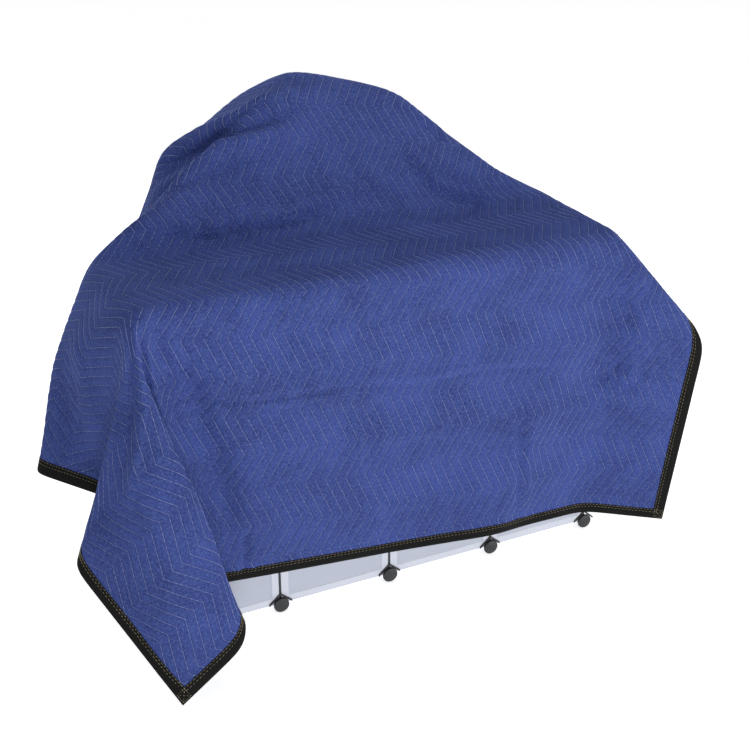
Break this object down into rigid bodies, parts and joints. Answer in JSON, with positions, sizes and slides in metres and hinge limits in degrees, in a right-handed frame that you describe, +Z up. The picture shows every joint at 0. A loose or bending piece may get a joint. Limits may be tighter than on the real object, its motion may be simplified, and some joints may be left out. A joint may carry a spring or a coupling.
{
  "type": "moving blanket draped over a storage rack",
  "caption": "Quilted padded blanket with a dark sewn binding, draped askew over a plain modular storage rack that stands on the floor.",
  "frame": {"origin": "floor level, below the middle of the whole", "axes": "+X along the rack's front towards its right end, +Y from the front to the back, +Z up"},
  "size_m": [1.7146, 1.054, 1.2468],
  "materials": {
    "quilted_cloth": "woven cotton and polyester, zigzag quilted, matte",
    "binding_tape": "woven tape, matte",
    "frosted_plastic": "frosted sheet",
    "black_plastic": "moulded, satin"
  },
  "bodies": {
    "root": {"blanket_binding": "binding_tape", "blanket_panel": "quilted_cloth", "cap_1": "black_plastic", "cap_2": "black_plastic", "cap_3": "black_plastic", "connector_0": "black_plastic", "connector_1": "black_plastic", "connector_2": "black_plastic", "connector_3": "black_plastic", "connector_4": "black_plastic", "door_0_0": "frosted_plastic", "door_0_1": "frosted_plastic", "door_0_2": "frosted_plastic", "door_0_3": "frosted_plastic", "door_1_0": "frosted_plastic", "door_1_1": "frosted_plastic", "door_1_2": "frosted_plastic", "door_1_3": "frosted_plastic", "door_2_0": "frosted_plastic", "door_2_1": "frosted_plastic", "door_2_2": "frosted_plastic", "door_2_3": "frosted_plastic", "front_row_back": "frosted_plastic", "front_row_top": "frosted_plastic", "post_back_0": "black_plastic", "post_back_1": "black_plastic", "post_back_2": "black_plastic", "post_back_3": "black_plastic", "post_back_4": "black_plastic", "post_front_0": "black_plastic", "post_front_1": "black_plastic", "post_front_2": "black_plastic", "post_front_3": "black_plastic", "post_front_4": "black_plastic", "rear_row_back": "frosted_plastic", "rear_row_top": "frosted_plastic", "rear_side_left": "frosted_plastic", "rear_side_right": "frosted_plastic", "shelf_0": "frosted_plastic", "shelf_1": "frosted_plastic", "shelf_2": "frosted_plastic", "side_left": "frosted_plastic", "side_right": "frosted_plastic", "top_box_back": "frosted_plastic", "top_box_front": "frosted_plastic", "top_box_left": "frosted_plastic", "top_box_lid": "frosted_plastic", "top_box_right": "frosted_plastic"}
  },
  "joints": []
}
